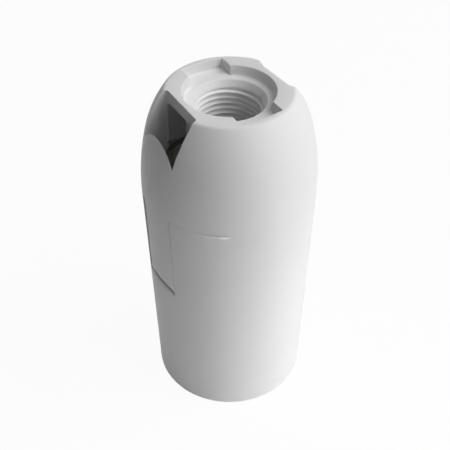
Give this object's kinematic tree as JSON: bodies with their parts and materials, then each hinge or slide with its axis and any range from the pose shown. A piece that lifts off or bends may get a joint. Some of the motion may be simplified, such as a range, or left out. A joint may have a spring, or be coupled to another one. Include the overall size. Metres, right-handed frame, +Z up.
{
  "type": "lamp holder",
  "caption": "E14 lamp holder with a smooth tapering skirt, a domed snap-fit cap with M10 x 1 threaded entry, and screw terminals inside.",
  "frame": {"origin": "centre of the mouth, which the holder stands on", "axes": "+Z up the axis to the threaded entry; snap arms and windows on +X and -X, terminals on +Y and -Y"},
  "size_m": [0.028, 0.028, 0.0575],
  "materials": {
    "white_moulding": "satin white thermoplastic",
    "insert_moulding": "matt off-white thermoplastic",
    "nickel_sheet": "nickel-plated drawn sheet",
    "spring_bronze": "rolled spring bronze",
    "terminal_brass": "machined brass",
    "zinc_steel": "zinc-plated steel"
  },
  "bodies": {
    "housing": {"cap": "white_moulding", "skirt": "white_moulding", "insert": "insert_moulding", "thread_shell": "nickel_sheet", "centre_contact": "spring_bronze", "neutral_strip": "spring_bronze", "terminal_cage_live": "terminal_brass", "terminal_cage_neutral": "terminal_brass", "contact_rivet": "terminal_brass", "shell_rivet_front": "terminal_brass", "shell_rivet_back": "terminal_brass"},
    "live_clamp": {"pressure_plate_live": "zinc_steel"},
    "live_screw": {"terminal_screw_live": "zinc_steel"},
    "neutral_clamp": {"pressure_plate_neutral": "zinc_steel"},
    "neutral_screw": {"terminal_screw_neutral": "zinc_steel"}
  },
  "joints": [
    {"name": "live_clamp_feed", "type": "slide", "parent": "housing", "child": "live_clamp", "axis": [0, 1, 0], "range_m": [0, 0.0015]},
    {"name": "live_screw_turn", "type": "hinge", "parent": "live_clamp", "child": "live_screw", "pos_m": [0, -0.009, 0.0362], "axis": [0, 1, 0], "range_deg": [0, 1080]},
    {"name": "neutral_clamp_feed", "type": "slide", "parent": "housing", "child": "neutral_clamp", "axis": [0, -1, 0], "range_m": [0, 0.0015]},
    {"name": "neutral_screw_turn", "type": "hinge", "parent": "neutral_clamp", "child": "neutral_screw", "pos_m": [0, 0.009, 0.0362], "axis": [0, -1, 0], "range_deg": [0, 1080]}
  ],
  "couplings": [
    {"joint": "live_screw_turn", "follows": "live_clamp_feed", "rad_per_m": 12566},
    {"joint": "neutral_screw_turn", "follows": "neutral_clamp_feed", "rad_per_m": 12566}
  ]
}
